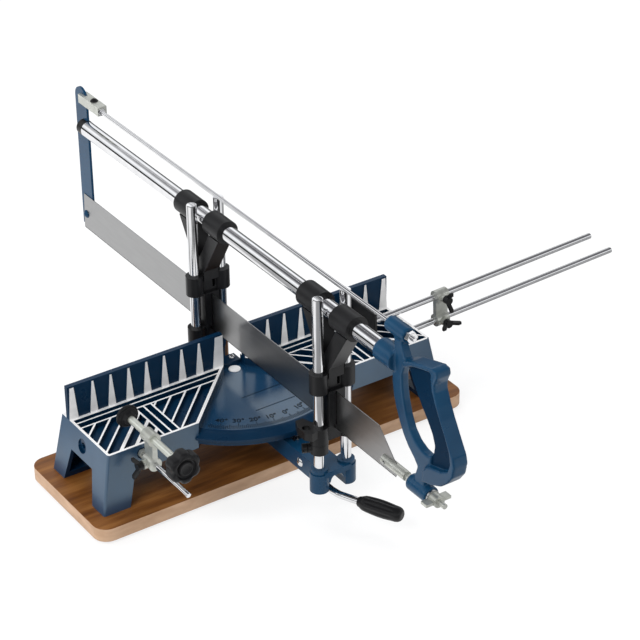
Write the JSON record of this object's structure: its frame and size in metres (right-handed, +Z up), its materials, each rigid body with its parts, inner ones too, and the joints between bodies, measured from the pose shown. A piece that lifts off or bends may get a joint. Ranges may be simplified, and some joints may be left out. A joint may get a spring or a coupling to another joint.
{
  "type": "manual mitre saw",
  "caption": "Hand-operated mitre saw: a framed blade slides on two pairs of posts over a ribbed table with a fence, a graduated sector, a work clamp and a length stop.",
  "frame": {"origin": "the centre of the top of the pivot's head, on the axis about which the arm swings", "axes": "+X to the right along the fence, +Y to the back, +Z up; the fence's face lies at y = 0 and the blade at x = 0"},
  "size_m": [0.6385, 0.643, 0.253],
  "materials": {
    "board_wood": "oiled hardwood board",
    "rubber": "black rubber",
    "blue_paint": "dark blue paint over cast aluminium",
    "bright_steel": "bright zinc-plated steel",
    "chrome": "polished chrome",
    "zinc": "pale yellow-green zinc plating",
    "black_plastic": "black satin plastic",
    "blade_steel": "ground blade steel"
  },
  "bodies": {
    "base": {"base_board": "board_wood", "board_feet": "rubber", "leg_screws": "bright_steel", "base_casting": "blue_paint", "pivot_pin": "bright_steel", "pivot_nut": "bright_steel", "rear_screw": "bright_steel", "clamp_rod": "bright_steel", "clamp_rod_nut": "zinc", "stop_support_rod": "chrome", "stop_rod_nuts": "zinc"},
    "arm": {"swing_arm": "blue_paint", "front_posts": "chrome", "rear_posts": "chrome", "cross_pin": "chrome"},
    "lock_lever": {"lever_rod": "chrome", "lever_grip": "black_plastic", "lever_pawl": "bright_steel"},
    "depth_stop": {"depth_collar": "black_plastic"},
    "depth_stop_screw": {"depth_screw": "black_plastic"},
    "front_guide": {"front_guide_frame": "black_plastic", "front_blade_guide": "black_plastic"},
    "rear_guide": {"rear_guide_frame": "black_plastic", "rear_blade_guide": "black_plastic"},
    "saw": {"saw_tube": "chrome", "tube_end_plug": "black_plastic", "rear_strip": "blue_paint", "clevis": "zinc", "clevis_screw": "black_plastic", "tie_rod": "bright_steel", "tie_nuts": "bright_steel", "handle": "blue_paint", "saw_blade": "blade_steel", "blade_rear_screw": "black_plastic", "blade_holder": "zinc", "holder_pin": "bright_steel", "draw_bar": "zinc", "tension_washer": "bright_steel"},
    "tension_wing": {"tension_nut": "zinc"},
    "work_clamp": {"clamp_bracket": "zinc"},
    "work_clamp_wing": {"clamp_wing_screw": "black_plastic"},
    "work_clamp_pad": {"clamp_pad": "black_plastic"},
    "work_clamp_spindle": {"clamp_spindle": "bright_steel", "clamp_knob": "black_plastic"},
    "stop_carrier": {"stop_bracket": "zinc"},
    "support_wing": {"support_wing_screw": "black_plastic"},
    "stop_wing": {"stop_wing_screw": "black_plastic"},
    "length_stop": {"stop_rod": "chrome", "stop_plate": "black_plastic"}
  },
  "joints": [
    {"name": "arm_swing", "type": "hinge", "parent": "base", "child": "arm", "pos_m": [0, 0, -0.0195], "axis": [0, 0, 1], "range_deg": [-38, 45]},
    {"name": "lever_lift", "type": "hinge", "parent": "arm", "child": "lock_lever", "pos_m": [0, -0.13, -0.0295], "axis": [-1, 0, 0], "range_deg": [0, 8], "stiffness_Nm_per_rad": 2},
    {"name": "depth_collar_slide", "type": "slide", "parent": "arm", "child": "depth_stop", "axis": [0, 0, 1], "range_m": [-0.017, 0]},
    {"name": "depth_screw_turn", "type": "hinge", "parent": "depth_stop", "child": "depth_stop_screw", "pos_m": [-0.0145, -0.165, 0.0075], "axis": [-0.9018, 0.4321, 0], "range_deg": [-180, 180]},
    {"name": "front_guide_slide", "type": "slide", "parent": "arm", "child": "front_guide", "axis": [0, 0, 1], "range_m": [0, 0.055]},
    {"name": "rear_guide_slide", "type": "slide", "parent": "arm", "child": "rear_guide", "axis": [0, 0, 1], "range_m": [0, 0.055]},
    {"name": "saw_slide", "type": "slide", "parent": "front_guide", "child": "saw", "axis": [0, 1, 0], "range_m": [-0.18, 0.03]},
    {"name": "tension_turn", "type": "hinge", "parent": "saw", "child": "tension_wing", "pos_m": [0, -0.314, 0.0345], "axis": [0, 1, 0], "range_deg": [-90, 90]},
    {"name": "clamp_bracket_slide", "type": "slide", "parent": "base", "child": "work_clamp", "axis": [0, -1, 0], "range_m": [-0.002, 0.045]},
    {"name": "clamp_wing_turn", "type": "hinge", "parent": "work_clamp", "child": "work_clamp_wing", "pos_m": [-0.143, -0.088, -0.0015], "axis": [1, 0, 0], "range_deg": [-90, 90]},
    {"name": "clamp_feed", "type": "slide", "parent": "work_clamp", "child": "work_clamp_pad", "axis": [0, -1, 0], "range_m": [-0.03, 0.025]},
    {"name": "clamp_spindle_turn", "type": "hinge", "parent": "work_clamp_pad", "child": "work_clamp_spindle", "pos_m": [-0.143, -0.05, 0.0251], "axis": [0, -1, 0], "range_deg": [-7201, 6001]},
    {"name": "stop_bracket_slide", "type": "slide", "parent": "base", "child": "stop_carrier", "axis": [0.9994, 0, 0.0349], "range_m": [-0.015, 0.19]},
    {"name": "support_wing_turn", "type": "hinge", "parent": "stop_carrier", "child": "support_wing", "pos_m": [0.21849, -0.033, -0.00314], "axis": [0, -1, 0], "range_deg": [-90, 90]},
    {"name": "stop_wing_turn", "type": "hinge", "parent": "stop_carrier", "child": "stop_wing", "pos_m": [0.21757, -0.033, 0.02345], "axis": [0, -1, 0], "range_deg": [-90, 90]},
    {"name": "stop_rod_slide", "type": "slide", "parent": "stop_carrier", "child": "length_stop", "axis": [0.9994, 0, 0.0349], "range_m": [-0.1, 0.055]}
  ],
  "couplings": [
    {"joint": "rear_guide_slide", "follows": "front_guide_slide", "ratio": 1},
    {"joint": "clamp_spindle_turn", "follows": "clamp_feed", "rad_per_m": 4188.8}
  ]
}
